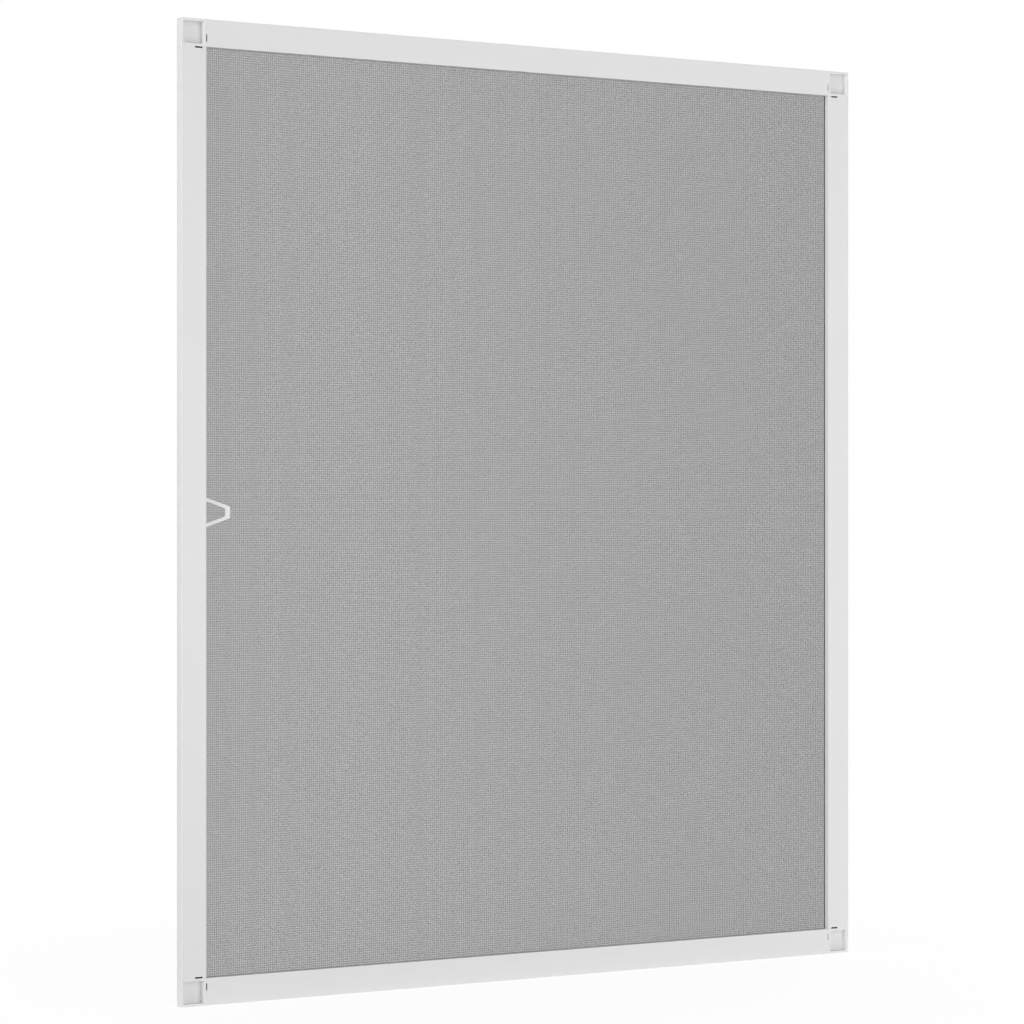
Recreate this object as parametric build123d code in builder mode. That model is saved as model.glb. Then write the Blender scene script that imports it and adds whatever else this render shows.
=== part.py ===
from build123d import *

import os

# Window insect screen: white aluminium profiles joined by moulded corner connectors around a
# fibreglass mesh, which a rubber spline holds in a groove at the back of the profiles.
# Millimetres, +Z up, front facing -Y, origin under the middle of the bottom edge.

# Overall size of the frame
frame_width = 1000.0
frame_height = 1200.0

# Extruded profile, measured from the outer edge inwards and from the front face backwards
face_width = 33.5
profile_depth = 13.0
profile_wall = 1.2
lip_depth = 8.0
leg_chamber_width = 13.8
spline_groove_width = 4.4
outer_edge_radius = 0.8
lip_edge_radius = 0.5

# Slot for the brush seal at the back of the profile
brush_slot_width = 8.2
brush_slot_depth = 1.8
brush_slot_lip = 0.8
brush_slot_mouth = 4.6

# Relief notch in the front face at both ends of every profile, larger on the stiles
notch_start = 18.5
notch_depth = 4.0
stile_notch_length = 10.2
stile_notch_run = 2.1
rail_notch_length = 8.6
rail_notch_run = 1.4

# Corner connector
corner_radius = 1.0
pocket_rim = 3.0
pocket_inner_wall = 3.0
pocket_depth = 8.5
pocket_radius = 0.8
seam_chamfer = 0.3
leg_length = 45.0
leg_clearance = 0.15
leg_tip_chamfer = 2.0
leg_notch_width = 2.4
leg_notch_depth = 0.8
leg_notch_pitch = 8.0
leg_notch_count = 5

# Insect mesh: coarse openings between bundles of ridged threads, and a hem across the lips' back edges
mesh_thickness = 0.5
hem_corner_clearance = 0.4
weave_border = 3.0
thread_width = 3.4
thread_relief = 0.15
opening_columns = 10
opening_rows = 12
threads_per_opening = 9
furrows_per_bundle = 3

# Rubber spline with a stem in the groove and a head that presses the hem on the lip
spline_clearance = 0.15
spline_floor_gap = 0.4
spline_head_height = 2.4
spline_head_inset = 0.2
spline_head_radius = 1.0
spline_end_gap = 0.3

# Pull tab with a finger hole
tab_thickness = 1.2
tab_base = 38.0
tab_end = 14.3
tab_reach = 35.2
tab_bar = 4.3
tab_end_bar = 6.6
tab_root_bar = 1.1
tab_end_radius = 1.5
hole_root_radius = 3.0
hole_end_radius = 1.5
tab_edge_radius = 0.3
tab_seat_clearance = 0.2

# Brush seal: a backing strip in the slot and a pile that stands out at the back
brush_proud = 4.0
brush_clearance = 0.2
brush_backing = 1.0
brush_pile_clearance = 0.4
brush_end_gap = 0.3

# Places that follow from the sizes above
front = -(profile_depth + brush_proud) / 2
half_width = frame_width / 2
stile_length = frame_height - 2 * face_width
rail_length = frame_width - 2 * face_width
leg_chamber_end = profile_wall + leg_chamber_width
leg_chamber_middle = profile_wall + leg_chamber_width / 2
brush_slot_floor = profile_depth - brush_slot_lip - brush_slot_depth
leg_chamber_depth = brush_slot_floor - 2 * profile_wall
groove_inner = face_width - profile_wall
groove_outer = groove_inner - spline_groove_width
cell_start = leg_chamber_end + profile_wall
cell_end = groove_outer - profile_wall
low_corner = (Align.MIN, Align.MIN)
low_middle = (Align.CENTER, Align.MIN)

# Every side has a plane at one end of its profile: x runs in from the outer edge, y runs back
side_planes = {
    "left": Plane((-half_width, front, face_width), x_dir=(1, 0, 0), z_dir=(0, 0, 1)),
    "right": Plane((half_width, front, frame_height - face_width), x_dir=(-1, 0, 0), z_dir=(0, 0, -1)),
    "top": Plane((face_width - half_width, front, frame_height), x_dir=(0, 0, -1), z_dir=(1, 0, 0)),
    "bottom": Plane((half_width - face_width, front, 0), x_dir=(0, 0, 1), z_dir=(-1, 0, 0)),
}
side_lengths = {"left": stile_length, "right": stile_length, "top": rail_length, "bottom": rail_length}
stile_notch = (stile_notch_length, stile_notch_run)
rail_notch = (rail_notch_length, rail_notch_run)
side_notches = {"left": stile_notch, "right": stile_notch, "top": rail_notch, "bottom": rail_notch}
profile_names = {"left": "left_stile", "right": "right_stile", "top": "top_rail", "bottom": "bottom_rail"}

# Every corner has a plane at its outer point: x and y run in along the two edges, z runs back
corner_planes = {
    "top_left": Plane((-half_width, front, frame_height), x_dir=(1, 0, 0), z_dir=(0, 1, 0)),
    "top_right": Plane((half_width, front, frame_height), x_dir=(0, 0, -1), z_dir=(0, 1, 0)),
    "bottom_right": Plane((half_width, front, 0), x_dir=(-1, 0, 0), z_dir=(0, 1, 0)),
    "bottom_left": Plane((-half_width, front, 0), x_dir=(0, 0, 1), z_dir=(0, 1, 0)),
}

# The mesh lies against the back of the lips, and the tab lies in front of it at mid-height
mesh_plane = Plane((0, front + lip_depth, frame_height / 2), x_dir=(1, 0, 0), z_dir=(0, 1, 0))
tab_plane = Plane(
    (face_width - half_width, front + lip_depth - tab_thickness, frame_height / 2),
    x_dir=(1, 0, 0),
    z_dir=(0, 1, 0),
)

os.makedirs("parts", exist_ok=True)

# Section of the frame profile
with BuildSketch() as profile_section:
    with BuildLine():
        Polyline(
            (0, 0),
            (face_width, 0),
            (face_width, lip_depth),
            (groove_inner, lip_depth),
            (groove_inner, profile_wall),
            (groove_outer, profile_wall),
            (groove_outer, profile_depth),
            (0, profile_depth),
            close=True,
        )
    make_face()
    fillet(profile_section.vertices().sort_by_distance((0, 0))[0], outer_edge_radius)
    fillet(profile_section.vertices().sort_by_distance((0, profile_depth))[0], outer_edge_radius)
    fillet(profile_section.vertices().sort_by_distance((face_width, 0))[0], lip_edge_radius)
    with Locations((profile_wall, profile_wall)):
        Rectangle(leg_chamber_width, leg_chamber_depth, align=low_corner, mode=Mode.SUBTRACT)
    with Locations((cell_start, profile_wall)):
        Rectangle(
            cell_end - cell_start,
            profile_depth - 2 * profile_wall,
            align=low_corner,
            mode=Mode.SUBTRACT,
        )
    with Locations((leg_chamber_middle, brush_slot_floor)):
        Rectangle(brush_slot_width, brush_slot_depth, align=low_middle, mode=Mode.SUBTRACT)
        Rectangle(
            brush_slot_mouth,
            brush_slot_depth + brush_slot_lip,
            align=low_middle,
            mode=Mode.SUBTRACT,
        )

# Stiles and rails, with the relief notches and, on the left, the seat of the pull tab
for side, plane in side_planes.items():
    notch_length, notch_run = side_notches[side]
    with BuildPart() as profile:
        with BuildSketch(plane):
            add(profile_section.sketch)
        extrude(amount=side_lengths[side])
        with BuildSketch(plane, plane.offset(side_lengths[side] - notch_run)):
            with Locations((notch_start, 0)):
                Rectangle(notch_length, notch_depth, align=low_corner)
        extrude(amount=notch_run, mode=Mode.SUBTRACT)
        if side == "left":
            with BuildSketch(tab_plane):
                with Locations((-profile_wall / 2, 0)):
                    Rectangle(profile_wall, tab_base + 2 * tab_seat_clearance)
            extrude(amount=tab_thickness, mode=Mode.SUBTRACT)
    profile.part.label = profile_names[side]
    export_step(profile.part, f"parts/{profile_names[side]}.step")

# Corner connectors: a box with a pocket in front, and two notched legs in the profiles' chambers
leg_width = leg_chamber_width - 2 * leg_clearance
leg_depth = leg_chamber_depth - 2 * leg_clearance
leg_centre = face_width + leg_length / 2
pocket_size = face_width - pocket_rim - pocket_inner_wall

for place, plane in corner_planes.items():
    with BuildPart() as corner:
        with BuildSketch(plane) as corner_face:
            Rectangle(face_width, face_width, align=low_corner)
            fillet(corner_face.vertices().sort_by_distance((0, 0))[0], corner_radius)
        extrude(amount=profile_depth)
        for depth in (0, profile_depth):
            along_x = plane.from_local_coords((face_width / 2, 0, depth))
            along_y = plane.from_local_coords((0, face_width / 2, depth))
            round_end = plane.from_local_coords((0, 0, depth))
            rim_edges = [
                corner.edges().sort_by_distance(along_x)[0],
                corner.edges().sort_by_distance(along_y)[0],
                corner.edges().filter_by(GeomType.CIRCLE).sort_by_distance(round_end)[0],
            ]
            fillet(rim_edges, outer_edge_radius)
        beside_x = plane.from_local_coords((face_width, face_width / 2, 0))
        beside_y = plane.from_local_coords((face_width / 2, face_width, 0))
        seam_edges = [
            corner.edges().sort_by_distance(beside_x)[0],
            corner.edges().sort_by_distance(beside_y)[0],
        ]
        chamfer(seam_edges, seam_chamfer)
        with BuildSketch(plane) as pocket:
            with Locations((pocket_rim, pocket_rim)):
                Rectangle(pocket_size, pocket_size, align=low_corner)
            fillet(pocket.vertices(), pocket_radius)
        extrude(amount=pocket_depth, mode=Mode.SUBTRACT)
        with BuildSketch(plane.offset(profile_wall + leg_clearance)) as legs:
            with Locations((leg_centre, leg_chamber_middle)):
                Rectangle(leg_length, leg_width)
            with Locations((leg_chamber_middle, leg_centre)):
                Rectangle(leg_width, leg_length)
            chamfer(legs.vertices().group_by(Axis.X)[-1], leg_tip_chamfer)
            chamfer(legs.vertices().group_by(Axis.Y)[-1], leg_tip_chamfer)
            with Locations((leg_centre, leg_chamber_middle)):
                with GridLocations(leg_notch_pitch, leg_width, leg_notch_count, 2):
                    Rectangle(leg_notch_width, 2 * leg_notch_depth, mode=Mode.SUBTRACT)
            with Locations((leg_chamber_middle, leg_centre)):
                with GridLocations(leg_width, leg_notch_pitch, 2, leg_notch_count):
                    Rectangle(2 * leg_notch_depth, leg_notch_width, mode=Mode.SUBTRACT)
        extrude(amount=leg_depth)
    corner.part.label = f"corner_{place}"
    export_step(corner.part, f"parts/corner_{place}.step")

# Insect mesh: bundles of upright ridges in front and of level ridges behind, openings between the
# bundles, and a hem that is as wide as the lips are thick, cut across at its corners
hem_corner_cut = 2 * profile_wall + hem_corner_clearance
weave_width = rail_length - 2 * weave_border
weave_height = stile_length - 2 * weave_border
column_pitch = weave_width / opening_columns
row_pitch = weave_height / opening_rows
warp_pitch = column_pitch / threads_per_opening
weft_pitch = row_pitch / threads_per_opening
warp_bundle = furrows_per_bundle * warp_pitch + thread_width
weft_bundle = furrows_per_bundle * weft_pitch + thread_width

with BuildPart() as mesh:
    with BuildSketch(mesh_plane) as cloth:
        Rectangle(rail_length + 2 * profile_wall, stile_length + 2 * profile_wall)
        chamfer(cloth.vertices(), hem_corner_cut)
        with GridLocations(column_pitch, row_pitch, opening_columns, opening_rows):
            Rectangle(column_pitch - warp_bundle, row_pitch - weft_bundle, mode=Mode.SUBTRACT)
    extrude(amount=mesh_thickness)
    with BuildSketch(mesh_plane):
        with GridLocations(column_pitch, weave_height, opening_columns - 1, 1):
            with GridLocations(warp_pitch, weave_height, furrows_per_bundle, 1):
                Rectangle(warp_pitch - thread_width, weave_height)
    extrude(amount=thread_relief, mode=Mode.SUBTRACT)
    with BuildSketch(mesh_plane.offset(mesh_thickness - thread_relief)):
        with GridLocations(weave_width, row_pitch, 1, opening_rows - 1):
            with GridLocations(weave_width, weft_pitch, 1, furrows_per_bundle):
                Rectangle(weave_width, weft_pitch - thread_width)
    extrude(amount=thread_relief, mode=Mode.SUBTRACT)
mesh.part.label = "insect_mesh"
export_step(mesh.part, "parts/insect_mesh.step")

# Rubber splines: the stem is pushed into the groove, the head clamps the hem on the lip's back edge
stem_start = groove_outer + spline_clearance
stem_end = groove_inner - spline_clearance
stem_floor = profile_wall + spline_floor_gap
head_floor = lip_depth + mesh_thickness
head_end = face_width - spline_head_inset

with BuildSketch() as spline_section:
    with Locations((stem_start, stem_floor)):
        Rectangle(stem_end - stem_start, head_floor - stem_floor, align=low_corner)
    with Locations((stem_start, head_floor)):
        Rectangle(head_end - stem_start, spline_head_height, align=low_corner)
    fillet(spline_section.vertices().group_by(Axis.Y)[-1], spline_head_radius)

for side, plane in side_planes.items():
    with BuildPart() as spline:
        with BuildSketch(plane.offset(spline_end_gap)):
            add(spline_section.sketch)
        extrude(amount=side_lengths[side] - 2 * spline_end_gap)
    spline.part.label = f"spline_{side}"
    export_step(spline.part, f"parts/spline_{side}.step")

# Pull tab: a tapered loop whose root lies in its seat behind the left lip
tab_half_base = tab_base / 2
tab_half_end = tab_end / 2
tab_fall = (tab_half_base - tab_half_end) / tab_reach
bar_rise = tab_bar * (1 + tab_fall**2) ** 0.5
hole_end = tab_reach - tab_end_bar
hole_half_root = tab_half_base - tab_fall * tab_root_bar - bar_rise
hole_half_end = tab_half_base - tab_fall * hole_end - bar_rise

with BuildPart() as pull_tab:
    with BuildSketch(tab_plane) as tab_outline:
        with BuildLine():
            Polyline(
                (-profile_wall, -tab_half_base),
                (0, -tab_half_base),
                (tab_reach, -tab_half_end),
                (tab_reach, tab_half_end),
                (0, tab_half_base),
                (-profile_wall, tab_half_base),
                close=True,
            )
        make_face()
        fillet(tab_outline.vertices().group_by(Axis.X)[-1], tab_end_radius)
    extrude(amount=tab_thickness)
    with BuildSketch(tab_plane) as finger_hole:
        with BuildLine():
            Polyline(
                (tab_root_bar, -hole_half_root),
                (hole_end, -hole_half_end),
                (hole_end, hole_half_end),
                (tab_root_bar, hole_half_root),
                close=True,
            )
        make_face()
        fillet(finger_hole.vertices().group_by(Axis.X)[0], hole_root_radius)
        fillet(finger_hole.vertices().group_by(Axis.X)[-1], hole_end_radius)
    extrude(amount=tab_thickness, mode=Mode.SUBTRACT)
    fillet(pull_tab.faces().sort_by(Axis.Y)[0].edges(), tab_edge_radius)
pull_tab.part.label = "pull_tab"
export_step(pull_tab.part, "parts/pull_tab.step")

# Brush seals: the backing lies on the slot's floor, the pile stands out through its mouth
backing_width = brush_slot_width - 2 * brush_clearance
pile_width = brush_slot_mouth - 2 * brush_pile_clearance
pile_height = profile_depth + brush_proud - brush_slot_floor

with BuildSketch() as brush_section:
    with Locations((leg_chamber_middle, brush_slot_floor)):
        Rectangle(backing_width, brush_backing, align=low_middle)
        Rectangle(pile_width, pile_height, align=low_middle)

for side, plane in side_planes.items():
    with BuildPart() as brush_seal:
        with BuildSketch(plane.offset(brush_end_gap)):
            add(brush_section.sketch)
        extrude(amount=side_lengths[side] - 2 * brush_end_gap)
    brush_seal.part.label = f"brush_seal_{side}"
    export_step(brush_seal.part, f"parts/brush_seal_{side}.step")
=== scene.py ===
"""Window insect screen: looks for the framed mesh, its corners, splines, pull tab and brush seals."""

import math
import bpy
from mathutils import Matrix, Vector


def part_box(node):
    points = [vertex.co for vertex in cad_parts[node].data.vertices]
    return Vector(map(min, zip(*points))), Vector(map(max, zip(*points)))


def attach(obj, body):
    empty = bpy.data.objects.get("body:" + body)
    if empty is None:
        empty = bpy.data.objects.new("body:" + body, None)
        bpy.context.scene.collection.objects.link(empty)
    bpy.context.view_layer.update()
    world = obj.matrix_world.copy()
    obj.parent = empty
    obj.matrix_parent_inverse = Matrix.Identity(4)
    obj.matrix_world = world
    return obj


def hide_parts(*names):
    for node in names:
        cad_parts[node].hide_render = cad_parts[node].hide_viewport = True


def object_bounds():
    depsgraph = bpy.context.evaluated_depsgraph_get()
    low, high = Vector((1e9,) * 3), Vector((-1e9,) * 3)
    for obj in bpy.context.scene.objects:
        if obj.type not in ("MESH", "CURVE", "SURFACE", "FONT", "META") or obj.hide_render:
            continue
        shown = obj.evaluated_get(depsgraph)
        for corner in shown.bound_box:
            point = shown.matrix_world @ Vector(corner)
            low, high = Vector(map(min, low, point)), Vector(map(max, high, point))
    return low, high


bl_info = {
    "name": "Window Insect Screen",
    "version": (1, 0, 0),
    "blender": (4, 5, 0),
    "location": "View3D > Sidebar > Insect Screen",
    "description": "Dresses a framed insect screen with woven mesh and brush pile, and sets its stage",
    "category": "Object",
}

import bpy
import numpy as np
from bpy.props import FloatProperty, FloatVectorProperty, IntProperty, PointerProperty
from bpy.types import Operator, Panel, PropertyGroup

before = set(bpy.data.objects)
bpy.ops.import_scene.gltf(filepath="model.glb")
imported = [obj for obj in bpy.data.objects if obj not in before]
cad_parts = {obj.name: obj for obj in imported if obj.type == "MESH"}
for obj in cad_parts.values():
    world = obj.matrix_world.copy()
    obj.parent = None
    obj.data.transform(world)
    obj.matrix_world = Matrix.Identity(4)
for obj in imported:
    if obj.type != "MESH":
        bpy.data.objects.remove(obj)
CAD_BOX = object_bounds()

SIDES = ("left", "right", "top", "bottom")
PROFILES = ("left_stile", "right_stile", "top_rail", "bottom_rail")
CORNERS = ("corner_top_left", "corner_top_right", "corner_bottom_right", "corner_bottom_left")
MM = 0.001
WHITE = (1.0, 1.0, 1.0, 1.0)

# Threads: the flat share of a section's width, threads in a group, and stray as a share of the pitch
THREAD_FLAT = 0.65
THREAD_GROUP = 3
THREAD_STRAY = 0.015
CLOTH_SEED = 11

# Tufts: stray as a share of the pitch, loss of width at the tip, and play and fall in millimetres
TUFT_STRAY = 0.3
TUFT_TAPER = 0.4
TUFT_PLAY = 0.2
TIP_FALL = 0.35
BACKING_TONE = 0.3
PILE_SEED = 23

# Floor, in metres: rings, drop under the screen, and where it has faded from a share of white to white
FLOOR_RADII = (0.001, 2.0, 12.0)
FLOOR_SIDES = 64
FLOOR_DROP = 0.2 * MM
FADE_START = 0.3
FADE_END = 1.1
FADE_SHARE = 0.92

# Light and camera: width of the step from front to back light, the low lamp in metres, the sensor in mm
LIGHT_STEP = 0.05
LAMP_DISTANCE = 2.3
LAMP_HEIGHT = 0.4
LAMP_WIDTH = 1.2
SENSOR_WIDTH = 36.0


def linear(hex_colour):
    """Turns an sRGB hex value such as "#E4E4E4" into linear red, green, blue and an alpha of 1."""
    channels = np.array([int(hex_colour[i : i + 2], 16) for i in (1, 3, 5)]) / 255.0
    low = channels / 12.92
    high = ((channels + 0.055) / 1.055) ** 2.4
    return (*np.where(channels <= 0.04045, low, high).tolist(), 1.0)


def length(name, description, millimetres):
    """A length property whose default is given in millimetres."""
    return FloatProperty(
        name=name,
        description=description,
        default=millimetres * MM,
        min=0.0,
        precision=5,
        subtype="DISTANCE",
        unit="LENGTH",
    )


def level(name, description, default):
    """A plain number for the strength of a light."""
    return FloatProperty(name=name, description=description, default=default, min=0.0)


def colour(name, description, hex_colour):
    """A colour property whose default is an sRGB hex value."""
    return FloatVectorProperty(
        name=name,
        description=description,
        default=linear(hex_colour),
        size=4,
        min=0.0,
        max=1.0,
        subtype="COLOR",
    )


class ScreenSizes(PropertyGroup):
    """Sizes of the woven mesh and of the brush pile."""

    thread_pitch: length("Thread pitch", "Mean distance between two threads of the mesh", 0.943)
    thread_width: length("Thread width", "Width of one coated thread", 0.42)
    thread_bunch: length("Thread bunch", "Shift of the outer threads of a group to its middle", 0.12)
    thread_lap: length("Thread lap", "Depth by which warp and weft sink into each other", 0.04)
    hem_cut: length("Hem cut", "Cut across each corner of the mesh", 2.8)
    pile_width: length("Pile width", "Width of the pile between the lips of its slot", 3.8)
    backing: length("Pile backing", "Thickness of the strip that carries the pile", 1.0)
    tuft_pitch: length("Tuft pitch", "Distance between two tufts along the seal", 1.3)
    tuft_width: length("Tuft width", "Width of a tuft at its root", 0.9)
    tuft_lean: length("Tuft lean", "Furthest that a tuft's tip leans to a side", 0.45)
    tuft_rows: IntProperty(name="Tuft rows", description="Rows of tufts across the pile", default=4, min=1)


class ScreenColours(PropertyGroup):
    """Colours of the finishes."""

    coat: colour("Powder coat", "White powder coat of the profiles", "#E3E3E3")
    # Dark grey inside the hollow profiles: partly uncoated aluminium, partly painted shade for the dark
    # inside of the cells.
    metal_and_shade: colour("Bare metal", "Uncoated aluminium inside the hollow profiles", "#868788")
    corner: colour("Corner", "White moulded plastic of the corner connectors", "#E6E6E6")
    tab: colour("Pull tab", "White moulded plastic of the pull tab", "#ECECEC")
    thread: colour("Thread", "Grey coating of the fibreglass threads", "#555657")
    rubber: colour("Rubber", "Dark rubber of the splines", "#232324")
    pile: colour("Pile", "Grey fibres of the brush seals", "#8B8C8D")


class StageSettings(PropertyGroup):
    """Camera, light and floor."""

    lens: FloatProperty(name="Lens", description="Focal length in millimetres", default=117.12, min=1.0)
    azimuth: FloatProperty(
        name="Azimuth",
        description="Turn of the camera to the screen's left",
        default=math.radians(30.716),
        subtype="ANGLE",
        unit="ROTATION",
    )
    distance: length("Distance", "From the camera to the middle of the front face", 4290.7)
    aside: length("Aside", "How far the camera stands to the left of that middle", 29.23)
    above: length("Above", "How far the camera stands above mid-height", 0.46)
    front_light: level("Front light", "Level of the surround in front of the screen", 0.18)
    back_light: level("Back light", "Level of the surround behind the screen", 0.05)
    key_lamp: level("Key lamp", "Strength of the soft sun high in front", 0.76)
    front_lamp: level("Front lamp", "Power of the low soft lamp in front", 11.0)
    left_lamp: level("Left lamp", "Strength of the soft sun on the left", 1.84)
    back_lamp: level("Back lamp", "Strength of the soft sun behind", 1.9)
    floor_glow: level("Floor glow", "Light that the floor adds from below", 0.28)
    floor: colour("Floor", "Pale floor", "#F6F6F6")


class InsectScreen(PropertyGroup):
    """All settings of the insect screen."""

    sizes: PointerProperty(type=ScreenSizes)
    colours: PointerProperty(type=ScreenColours)
    stage: PointerProperty(type=StageSettings)


# Meshes from whole arrays


def tube_quads(points):
    """Faces of closed tubes from points ordered tube, ring, corner, with an even number of corners.

    A side face joins corner k and k + 1 of one ring to the same corners of the next ring. An end is
    a fan of four-sided faces from corner 0, turned over at the first ring so that it faces outwards.
    """
    tubes, rings, corners = points.shape[:3]
    index = np.arange(tubes * rings * corners).reshape(tubes, rings, corners)
    ahead = np.roll(index, -1, axis=2)
    sides = np.stack([index[:, :-1], ahead[:, :-1], ahead[:, 1:], index[:, 1:]], axis=-1)
    first = np.arange(0, corners - 2, 2)
    fan = np.stack([np.zeros_like(first), first + 1, first + 2, first + 3], axis=-1)
    starts = index[:, 0][:, fan[:, ::-1]]
    ends = index[:, -1][:, fan]
    return np.concatenate([part.reshape(-1, 4) for part in (sides, starts, ends)])


def tube_tones(tones, points):
    """The tone of each tube, repeated for all the points on its rings."""
    return np.repeat(tones, points.shape[1] * points.shape[2])


def new_piece(name, points, quads, material, tones=None):
    """Puts points and four-sided faces into a mesh object at the origin, with a tone for each point."""
    mesh = bpy.data.meshes.new(name)
    mesh.from_pydata(points.reshape(-1, 3).tolist(), [], quads.tolist())
    if tones is not None:
        attribute = mesh.attributes.new("tone", "FLOAT", "POINT")
        attribute.data.foreach_set("value", np.ascontiguousarray(tones, dtype=np.float32).ravel())
    mesh.materials.append(material)
    mesh.validate()
    piece = bpy.data.objects.new(name, mesh)
    bpy.context.scene.collection.objects.link(piece)
    return piece


def thread_layer(along, across, depth, places, reach, width, thickness):
    """One layer of straight threads as closed tubes with a lens-shaped section of six corners.

    along and across are axis numbers. Thread i runs on axis along from -reach[i] to reach[i] about the
    middle of the mesh, at places[i] on axis across, and its section is width wide and thickness deep.
    The section's order is turned round for level threads, so that their faces look outwards too.
    """
    wide = 0.5 * width * np.array([1.0, THREAD_FLAT, -THREAD_FLAT, -1.0, -THREAD_FLAT, THREAD_FLAT])
    deep = 0.5 * thickness * np.array([0.0, 1.0, 1.0, 0.0, -1.0, -1.0])
    if along == 0:
        wide = wide[::-1]
        deep = deep[::-1]
    ends = np.stack([-reach, reach], axis=1)
    points = np.zeros((*ends.shape, len(wide), 3))
    points[..., across] = places[:, None, None] + wide
    points[..., along] = ends[:, :, None]
    points[..., 1] = depth + deep
    return points


# Materials


def add_node(tree, kind, inputs=None, **settings):
    """Adds a node with its settings, and gives each input a value or a link from another node's output."""
    node = tree.nodes.new(kind)
    for key, value in settings.items():
        setattr(node, key, value)
    for socket, value in (inputs or {}).items():
        if isinstance(value, bpy.types.NodeSocket):
            tree.links.new(value, node.inputs[socket])
        else:
            node.inputs[socket].default_value = value
    return node


def new_material(name):
    """An empty node material with its output node."""
    material = bpy.data.materials.new(name)
    material.use_nodes = True
    material.node_tree.nodes.clear()
    return material, material.node_tree, add_node(material.node_tree, "ShaderNodeOutputMaterial")


def per_metre(millimetres):
    """Scale of a noise whose features are about that many millimetres wide."""
    return 1.0 / (millimetres * MM)


def scaled(rgba, factor):
    """A colour made lighter or darker by one factor."""
    return (*[min(1.0, channel * factor) for channel in rgba[:3]], 1.0)


def powder_coat(colours):
    """Powder-coated aluminium, sprayed and baked over an extrusion.

    A satin white skin with the soft dimples of baked powder, about 1.4 mm apart, and a faint drift of
    tone along each length. The walls inside the hollow cells are a dark grey: partly bare mill aluminium
    that the coat doesn't reach, partly painted shade for the dark inside of the cells.
    """
    material, tree, output = new_material("powder_coated_aluminium")
    place = add_node(tree, "ShaderNodeTexCoord").outputs["Object"]
    dimples = add_node(tree, "ShaderNodeTexNoise", {"Vector": place, "Scale": per_metre(1.4), "Detail": 2.0})
    drift = add_node(tree, "ShaderNodeTexNoise", {"Vector": place, "Scale": per_metre(180.0), "Detail": 3.0})
    tone = add_node(
        tree,
        "ShaderNodeMix",
        {"Factor": drift.outputs["Fac"], 6: scaled(colours.coat, 0.985), 7: scaled(colours.coat, 1.015)},
        data_type="RGBA",
    )
    sheen = add_node(
        tree,
        "ShaderNodeMapRange",
        {"Value": drift.outputs["Fac"], "To Min": 0.40, "To Max": 0.48},
    )
    relief = add_node(
        tree,
        "ShaderNodeBump",
        {"Strength": 0.10, "Distance": 0.02 * MM, "Height": dimples.outputs["Fac"]},
    )
    # Painted shade: the walls inside the hollow cells take a darker grey, partly as bare aluminium, partly as
    # shade painted in.
    inside = hollow_shade_mask(tree, place)
    base = add_node(
        tree,
        "ShaderNodeMix",
        {"Factor": inside, 6: tone.outputs[2], 7: tuple(colours.metal_and_shade)},
        data_type="RGBA",
    )
    shader = add_node(
        tree,
        "ShaderNodeBsdfPrincipled",
        {
            "Base Color": base.outputs[2],
            "Roughness": sheen.outputs["Result"],
            "Normal": relief.outputs["Normal"],
        },
    )
    tree.links.new(shader.outputs["BSDF"], output.inputs["Surface"])
    return material


def hollow_shade_mask(tree, place):
    """1 on the walls inside the hollow profiles, 0 on their outer skin. The darker grey laid there is partly
    bare aluminium and partly painted shade.

    The inset of a point is its distance from the nearest outer edge of the frame, the lesser of the one
    in X and the one in Z. A point is inside where its inset and its depth both lie between the walls.
    """
    low, high = np.array(CAD_BOX[0]), np.array(CAD_BOX[1])
    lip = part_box("left_stile")[1][0] - low[0]
    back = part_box("left_stile")[1][1]
    skin = 1.1 * MM
    split = add_node(tree, "ShaderNodeSeparateXYZ", {"Vector": place})
    insets = []
    for axis, middle, half in (("X", 0.0, high[0]), ("Z", high[2] / 2, high[2] / 2)):
        offset = add_node(tree, "ShaderNodeMath", {0: split.outputs[axis], 1: middle}, operation="SUBTRACT")
        reach = add_node(tree, "ShaderNodeMath", {0: offset.outputs[0]}, operation="ABSOLUTE")
        insets.append(add_node(tree, "ShaderNodeMath", {0: half, 1: reach.outputs[0]}, operation="SUBTRACT"))
    inset = add_node(
        tree,
        "ShaderNodeMath",
        {0: insets[0].outputs[0], 1: insets[1].outputs[0]},
        operation="MINIMUM",
    )
    limits = (
        (inset.outputs[0], skin, "GREATER_THAN"),
        (inset.outputs[0], float(lip) - skin, "LESS_THAN"),
        (split.outputs["Y"], float(low[1]) + skin, "GREATER_THAN"),
        (split.outputs["Y"], float(back) - skin, "LESS_THAN"),
    )
    mask = 1.0
    for value, limit, test in limits:
        passed = add_node(tree, "ShaderNodeMath", {0: value, 1: limit}, operation=test)
        joined = add_node(tree, "ShaderNodeMath", {0: mask, 1: passed.outputs[0]}, operation="MULTIPLY")
        mask = joined.outputs[0]
    return mask


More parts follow.
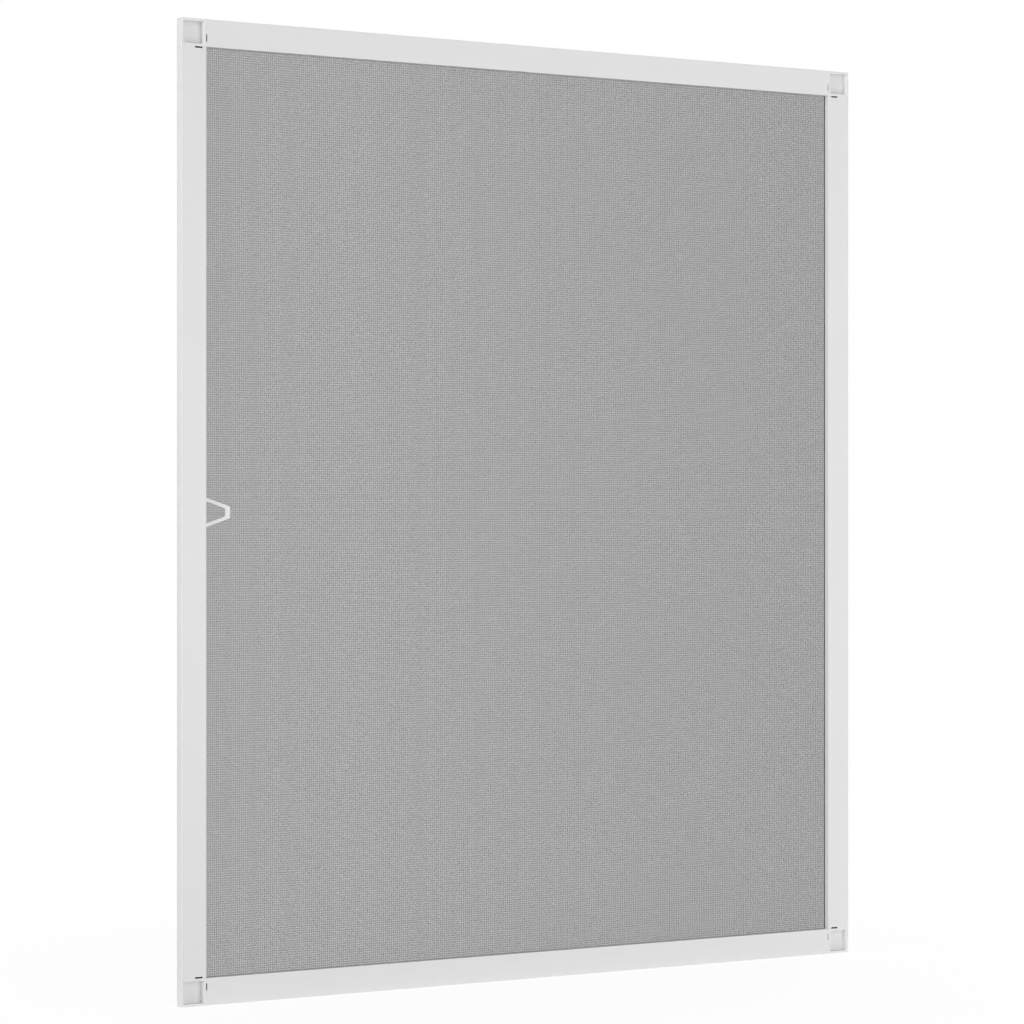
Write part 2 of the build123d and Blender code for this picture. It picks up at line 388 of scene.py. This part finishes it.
def moulded_plastic(name, rgba, grain):
    """Moulded white plastic with the fine sparked grain of its tool.

    A matt skin: grain of the given width in millimetres lifts the roughness and softens the highlights,
    and slow flow marks shift the tone a little.
    """
    material, tree, output = new_material(name)
    place = add_node(tree, "ShaderNodeTexCoord").outputs["Object"]
    pits = add_node(tree, "ShaderNodeTexNoise", {"Vector": place, "Scale": per_metre(grain), "Detail": 3.0})
    flow = add_node(tree, "ShaderNodeTexNoise", {"Vector": place, "Scale": per_metre(22.0), "Detail": 2.0})
    tone = add_node(
        tree,
        "ShaderNodeMix",
        {"Factor": flow.outputs["Fac"], 6: scaled(rgba, 0.98), 7: scaled(rgba, 1.02)},
        data_type="RGBA",
    )
    sheen = add_node(
        tree,
        "ShaderNodeMapRange",
        {"Value": pits.outputs["Fac"], "To Min": 0.46, "To Max": 0.6},
    )
    relief = add_node(
        tree,
        "ShaderNodeBump",
        {"Strength": 0.15, "Distance": 0.02 * MM, "Height": pits.outputs["Fac"]},
    )
    shader = add_node(
        tree,
        "ShaderNodeBsdfPrincipled",
        {
            "Base Color": tone.outputs[2],
            "Roughness": sheen.outputs["Result"],
            "Normal": relief.outputs["Normal"],
        },
    )
    tree.links.new(shader.outputs["BSDF"], output.inputs["Surface"])
    return material


def fibre_finish(name, rgba, roughness, spread):
    """Coated or cut fibres: each thread or tuft has a tone of its own, read from the piece's attribute.

    The tone, from 0 to 1, moves the colour by the given spread to either side, so that a field of fibres
    keeps a lively, uneven grey.
    """
    material, tree, output = new_material(name)
    tone = add_node(tree, "ShaderNodeAttribute", attribute_name="tone", attribute_type="GEOMETRY")
    base = add_node(
        tree,
        "ShaderNodeMix",
        {"Factor": tone.outputs["Fac"], 6: scaled(rgba, 1.0 - spread), 7: scaled(rgba, 1.0 + spread)},
        data_type="RGBA",
    )
    shader = add_node(
        tree,
        "ShaderNodeBsdfPrincipled",
        {"Base Color": base.outputs[2], "Roughness": roughness},
    )
    tree.links.new(shader.outputs["BSDF"], output.inputs["Surface"])
    return material


def spline_rubber(rgba):
    """Extruded rubber: near black, dull, with a dusty bloom in patches about 9 mm wide."""
    material, tree, output = new_material("extruded_rubber")
    place = add_node(tree, "ShaderNodeTexCoord").outputs["Object"]
    bloom = add_node(tree, "ShaderNodeTexNoise", {"Vector": place, "Scale": per_metre(9.0), "Detail": 4.0})
    grit = add_node(tree, "ShaderNodeTexNoise", {"Vector": place, "Scale": per_metre(0.6), "Detail": 2.0})
    base = add_node(
        tree,
        "ShaderNodeMix",
        {"Factor": bloom.outputs["Fac"], 6: scaled(rgba, 0.8), 7: scaled(rgba, 1.35)},
        data_type="RGBA",
    )
    relief = add_node(
        tree,
        "ShaderNodeBump",
        {"Strength": 0.2, "Distance": 0.03 * MM, "Height": grit.outputs["Fac"]},
    )
    shader = add_node(
        tree,
        "ShaderNodeBsdfPrincipled",
        {"Base Color": base.outputs[2], "Roughness": 0.72, "Normal": relief.outputs["Normal"]},
    )
    tree.links.new(shader.outputs["BSDF"], output.inputs["Surface"])
    return material


def seen_directly(tree):
    """1 for rays that show a background: those of the camera, of reflections and of clear materials."""
    path = add_node(tree, "ShaderNodeLightPath")
    sharp = add_node(
        tree,
        "ShaderNodeMath",
        {0: path.outputs["Is Glossy Ray"], 1: path.outputs["Is Transmission Ray"]},
        operation="MAXIMUM",
    )
    seen = add_node(
        tree,
        "ShaderNodeMath",
        {0: path.outputs["Is Camera Ray"], 1: sharp.outputs[0]},
        operation="MAXIMUM",
    )
    return seen.outputs[0]


def pale_floor(rgba, glow):
    """Pale matt floor that fades to the white background away from the screen and keeps its shadow.

    Where it isn't seen directly it glows a little, as a floor that the studio's lamps light does.
    """
    material, tree, output = new_material("pale_floor")
    place = add_node(tree, "ShaderNodeTexCoord").outputs["Object"]
    far = add_node(tree, "ShaderNodeVectorMath", {0: place}, operation="LENGTH")
    fade = add_node(
        tree,
        "ShaderNodeMapRange",
        {
            "Value": far.outputs["Value"],
            "From Min": FADE_START,
            "From Max": FADE_END,
            "To Min": FADE_SHARE,
            "To Max": 1.0,
        },
    )
    share = add_node(
        tree,
        "ShaderNodeMath",
        {0: fade.outputs["Result"], 1: seen_directly(tree)},
        operation="MULTIPLY",
    )
    matt = add_node(tree, "ShaderNodeBsdfDiffuse", {"Color": tuple(rgba)})
    lift = add_node(tree, "ShaderNodeEmission", {"Strength": glow})
    lit = add_node(tree, "ShaderNodeAddShader", {0: matt.outputs["BSDF"], 1: lift.outputs["Emission"]})
    white = add_node(tree, "ShaderNodeEmission", {"Strength": 1.0})
    mix = add_node(
        tree,
        "ShaderNodeMixShader",
        {"Fac": share.outputs[0], 1: lit.outputs["Shader"], 2: white.outputs["Emission"]},
    )
    tree.links.new(mix.outputs["Shader"], output.inputs["Surface"])
    return material


def dress(names, material):
    """Gives carried-over solids a finish in their own material slots."""
    for name in names:
        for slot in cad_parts[name].material_slots:
            slot.material = material


# Operators, one for each piece or group of like pieces


class INSECTSCREEN_OT_profiles(Operator):
    """Coat the stiles and rails"""

    bl_idname = "insect_screen.profiles"
    bl_label = "Stiles and rails"

    def execute(self, context):
        dress(PROFILES, powder_coat(context.scene.insect_screen.colours))
        return {"FINISHED"}


class INSECTSCREEN_OT_corners(Operator):
    """Finish the corner connectors"""

    bl_idname = "insect_screen.corners"
    bl_label = "Corner connectors"

    def execute(self, context):
        colours = context.scene.insect_screen.colours
        dress(CORNERS, moulded_plastic("moulded_corner_plastic", colours.corner, grain=0.7))
        return {"FINISHED"}


class INSECTSCREEN_OT_splines(Operator):
    """Finish the rubber splines"""

    bl_idname = "insect_screen.splines"
    bl_label = "Rubber splines"

    def execute(self, context):
        dress([f"spline_{side}" for side in SIDES], spline_rubber(context.scene.insect_screen.colours.rubber))
        return {"FINISHED"}


class INSECTSCREEN_OT_pull_tab(Operator):
    """Finish the pull tab"""

    bl_idname = "insect_screen.pull_tab"
    bl_label = "Pull tab"

    def execute(self, context):
        colours = context.scene.insect_screen.colours
        dress(["pull_tab"], moulded_plastic("moulded_tab_plastic", colours.tab, grain=0.5))
        return {"FINISHED"}


class INSECTSCREEN_OT_mesh(Operator):
    """Weave the insect mesh from upright threads in front and level threads behind"""

    # Threads are drawn straight and in groups of three, as the reed of a loom spaces them. The groups
    # stand in for a finer even weave, which would blur to a flat grey at this size.
    bl_idname = "insect_screen.mesh"
    bl_label = "Insect mesh"

    def execute(self, context):
        settings = context.scene.insect_screen
        sizes = settings.sizes
        low, high = np.array(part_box("insect_mesh"))
        middle = (low + high) / 2
        half = (high - low) / 2
        thickness = half[1] + sizes.thread_lap / 2
        random = np.random.default_rng(CLOTH_SEED)
        layers = []
        for along, across, depth in ((2, 0, low[1] + thickness / 2), (0, 2, high[1] - thickness / 2)):
            count = int(2 * half[across] / sizes.thread_pitch)
            number = np.arange(count)
            places = (number - (count - 1) / 2) * sizes.thread_pitch
            places += (THREAD_GROUP // 2 - number % THREAD_GROUP) * sizes.thread_bunch
            places += random.uniform(-THREAD_STRAY, THREAD_STRAY, count) * sizes.thread_pitch
            near_edge = half[across] - np.abs(places) - sizes.thread_width / 2
            reach = half[along] - np.maximum(0.0, sizes.hem_cut - near_edge)
            layers.append(thread_layer(along, across, depth, places, reach, sizes.thread_width, thickness))
        points = np.concatenate(layers)
        points += np.array([middle[0], 0.0, middle[2]])
        tones = random.random(len(points))
        piece = new_piece(
            "woven_mesh",
            points,
            tube_quads(points),
            fibre_finish("coated_fibreglass_thread", settings.colours.thread, roughness=0.5, spread=0.06),
            tube_tones(tones, points),
        )
        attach(piece, "root")
        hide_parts("insect_mesh")
        return {"FINISHED"}


class INSECTSCREEN_OT_brush_seals(Operator):
    """Grow the brush pile on its backing strips at the back of the frame"""

    bl_idname = "insect_screen.brush_seals"
    bl_label = "Brush seals"

    def execute(self, context):
        settings = context.scene.insect_screen
        finish = fibre_finish("cut_pile_fibre", settings.colours.pile, roughness=0.85, spread=0.22)
        random = np.random.default_rng(PILE_SEED)
        for side in SIDES:
            low, high = np.array(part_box(f"brush_seal_{side}"))
            along = 2 if side in ("left", "right") else 0
            tufts, tones = self.pile(settings.sizes, low, high, along, random)
            strip = self.backing(settings.sizes, low, high, along)
            points = np.concatenate([tufts.reshape(-1, 3), strip.reshape(-1, 3)])
            quads = np.concatenate([tube_quads(tufts), tube_quads(strip) + tufts[..., 0].size])
            piece = new_piece(
                f"brush_pile_{side}",
                points,
                quads,
                finish,
                np.concatenate([tube_tones(tones, tufts), tube_tones([BACKING_TONE], strip)]),
            )
            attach(piece, "root")
            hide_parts(f"brush_seal_{side}")
        return {"FINISHED"}

    @staticmethod
    def pile(sizes, low, high, along, random):
        """Tapered four-sided tufts on a jittered grid along and across the seal.

        A tuft has three rings: its root on the backing, its middle and its tip. The lean grows with the
        square of the height, and the width falls to six tenths at the tip.
        """
        across = 2 - along
        count = int((high[along] - low[along] - sizes.tuft_width) / sizes.tuft_pitch)
        rows = np.linspace(-0.5, 0.5, sizes.tuft_rows) * (sizes.pile_width - sizes.tuft_width)
        run = (np.arange(count) - (count - 1) / 2) * sizes.tuft_pitch
        run, row = (grid.ravel() for grid in np.meshgrid(run, rows, indexing="ij"))
        total = len(run)
        run = run + random.uniform(-TUFT_STRAY, TUFT_STRAY, total) * sizes.tuft_pitch
        lean = random.uniform(-1.0, 1.0, (2, total)) * sizes.tuft_lean
        room = (sizes.pile_width - sizes.tuft_width) / 2 + TUFT_PLAY * MM
        root = low[1] + sizes.backing
        tip = high[1] - random.uniform(0.0, TIP_FALL, total) * MM
        step = np.array([0.0, 0.5, 1.0])
        half = 0.5 * sizes.tuft_width * (1.0 - TUFT_TAPER * step)
        square = np.array([[1.0, 1.0], [-1.0, 1.0], [-1.0, -1.0], [1.0, -1.0]])
        middle = (low + high) / 2
        points = np.zeros((total, len(step), len(square), 3))
        centre_run = run[:, None] + lean[0][:, None] * step**2
        centre_row = np.clip(row[:, None] + lean[1][:, None] * step**2, -room, room)
        turned = square if along == 2 else square[::-1]
        points[..., along] = middle[along] + centre_run[..., None] + half[:, None] * turned[:, 0]
        points[..., across] = middle[across] + centre_row[..., None] + half[:, None] * turned[:, 1]
        points[..., 1] = (root + (tip - root)[:, None] * step)[..., None]
        return points, random.random(total)

    @staticmethod
    def backing(sizes, low, high, along):
        """The flat strip under the pile: one closed tube with the section of the slot's floor."""
        across = 2 - along
        corners = np.array([[0, 0], [1, 0], [1, 1], [0, 1]], dtype=float)
        if along == 0:
            corners = corners[::-1]
        points = np.zeros((1, 2, len(corners), 3))
        points[..., across] = low[across] + corners[:, 0] * (high[across] - low[across])
        points[..., 1] = low[1] + corners[:, 1] * sizes.backing
        points[0, 0, :, along] = low[along]
        points[0, 1, :, along] = high[along]
        return points


class INSECTSCREEN_OT_stage(Operator):
    """Set the floor, the light, the background and the camera"""

    bl_idname = "insect_screen.stage"
    bl_label = "Stage"

    def execute(self, context):
        stage = context.scene.insect_screen.stage
        context.scene.view_settings.view_transform = "Standard"
        self.floor(stage)
        self.background(context.scene, stage)
        self.lamps(context.scene, stage)
        self.camera(context.scene, stage)
        return {"FINISHED"}

    @staticmethod
    def floor(stage):
        """A flat round floor: rings of points at growing radius, joined to quads around the middle."""
        radius = np.array(FLOOR_RADII)[:, None]
        turn = np.linspace(0.0, 2 * np.pi, FLOOR_SIDES, endpoint=False)[None, :]
        height = np.full((len(FLOOR_RADII), FLOOR_SIDES), -FLOOR_DROP)
        points = np.stack([radius * np.cos(turn), radius * np.sin(turn), height], axis=-1)
        index = np.arange(height.size).reshape(height.shape)
        ahead = np.roll(index, -1, axis=1)
        quads = np.stack([index[:-1], index[1:], ahead[1:], ahead[:-1]], axis=-1).reshape(-1, 4)
        new_piece("floor", points, quads, pale_floor(stage.floor, stage.floor_glow))

    @staticmethod
    def background(scene, stage):
        """White where it is seen, and elsewhere a plain light that is stronger from the front than behind."""
        world = bpy.data.worlds.new("white_surround")
        world.use_nodes = True
        tree = world.node_tree
        tree.nodes.clear()
        direction = add_node(tree, "ShaderNodeTexCoord").outputs["Generated"]
        split = add_node(tree, "ShaderNodeSeparateXYZ", {"Vector": direction})
        strength = add_node(
            tree,
            "ShaderNodeMapRange",
            {
                "Value": split.outputs["Y"],
                "From Min": -LIGHT_STEP,
                "From Max": LIGHT_STEP,
                "To Min": stage.front_light,
                "To Max": stage.back_light,
            },
        )
        plain = {"Color": WHITE, "Strength": strength.outputs["Result"]}
        light = add_node(tree, "ShaderNodeBackground", plain)
        white = add_node(tree, "ShaderNodeBackground", {"Color": WHITE, "Strength": 1.0})
        mix = add_node(
            tree,
            "ShaderNodeMixShader",
            {"Fac": seen_directly(tree), 1: light.outputs[0], 2: white.outputs[0]},
        )
        add_node(tree, "ShaderNodeOutputWorld", {"Surface": mix.outputs[0]})
        scene.world = world

    @staticmethod
    def lamps(scene, stage):
        """A wide, low lamp in front, and three soft suns in front, on the left and behind.

        Each is turned by its azimuth from the front to the right and raised by its elevation, and a sun
        has the angle of its spread. The suns give no highlights: only the surround and the low lamp do.
        """
        lamps = (
            ("key_lamp", "SUN", stage.key_lamp, 8.0, 24.0, 40.0),
            ("front_lamp", "AREA", stage.front_lamp, 9.0, 0.0, 0.0),
            ("left_lamp", "SUN", stage.left_lamp, -78.0, 5.0, 22.0),
            ("back_lamp", "SUN", stage.back_lamp, 140.0, 25.0, 60.0),
        )
        for name, kind, strength, azimuth, elevation, spread in lamps:
            data = bpy.data.lights.new(name, kind)
            data.energy = strength
            turn = math.radians(azimuth)
            lamp = bpy.data.objects.new(name, data)
            lamp.rotation_euler = (math.radians(90.0 - elevation), 0.0, turn)
            if kind == "AREA":
                data.shape = "DISK"
                data.size = LAMP_WIDTH
                lamp.location = (LAMP_DISTANCE * math.sin(turn), -LAMP_DISTANCE * math.cos(turn), LAMP_HEIGHT)
            else:
                data.angle = math.radians(spread)
                lamp.visible_glossy = False
            scene.collection.objects.link(lamp)

    @staticmethod
    def camera(scene, stage):
        """A level camera on the screen's left: it looks along (sin a, cos a) for the azimuth a."""
        data = bpy.data.cameras.new("camera")
        data.sensor_width = SENSOR_WIDTH
        data.lens = stage.lens
        camera = bpy.data.objects.new("camera", data)
        ahead = np.array([math.sin(stage.azimuth), math.cos(stage.azimuth), 0.0])
        right = np.array([ahead[1], -ahead[0], 0.0])
        middle = np.array([0.0, CAD_BOX[0][1], (CAD_BOX[0][2] + CAD_BOX[1][2]) / 2])
        above = np.array([0.0, 0.0, stage.above])
        camera.location = middle - stage.distance * ahead - stage.aside * right + above
        camera.rotation_euler = (math.pi / 2, 0.0, -stage.azimuth)
        scene.collection.objects.link(camera)
        scene.camera = camera


class INSECTSCREEN_PT_panel(Panel):
    """Shows the settings of the insect screen and a button for each operator"""

    bl_idname = "INSECTSCREEN_PT_panel"
    bl_label = "Insect Screen"
    bl_space_type = "VIEW_3D"
    bl_region_type = "UI"
    bl_category = "Insect Screen"

    def draw(self, context):
        settings = context.scene.insect_screen
        for group in (settings.sizes, settings.colours, settings.stage):
            box = self.layout.box()
            for name in group.bl_rna.properties.keys():
                if name not in ("rna_type", "name"):
                    box.prop(group, name)
        for operator in OPERATORS:
            self.layout.operator(operator.bl_idname)


GROUPS = (ScreenSizes, ScreenColours, StageSettings, InsectScreen)
OPERATORS = (
    INSECTSCREEN_OT_profiles,
    INSECTSCREEN_OT_corners,
    INSECTSCREEN_OT_splines,
    INSECTSCREEN_OT_pull_tab,
    INSECTSCREEN_OT_mesh,
    INSECTSCREEN_OT_brush_seals,
    INSECTSCREEN_OT_stage,
)
CLASSES = (*GROUPS, *OPERATORS, INSECTSCREEN_PT_panel)


def register():
    """Registers the classes and hangs the settings on the scene."""
    for item in CLASSES:
        bpy.utils.register_class(item)
    bpy.types.Scene.insect_screen = PointerProperty(type=InsectScreen)


def unregister():
    """Takes the settings off the scene and unregisters the classes."""
    del bpy.types.Scene.insect_screen
    for item in reversed(CLASSES):
        bpy.utils.unregister_class(item)


def main():
    """Builds every piece in order."""
    register()
    bpy.ops.insect_screen.profiles()
    bpy.ops.insect_screen.corners()
    bpy.ops.insect_screen.splines()
    bpy.ops.insect_screen.pull_tab()
    bpy.ops.insect_screen.mesh()
    bpy.ops.insect_screen.brush_seals()
    bpy.ops.insect_screen.stage()


if __name__ == "__main__":
    main()
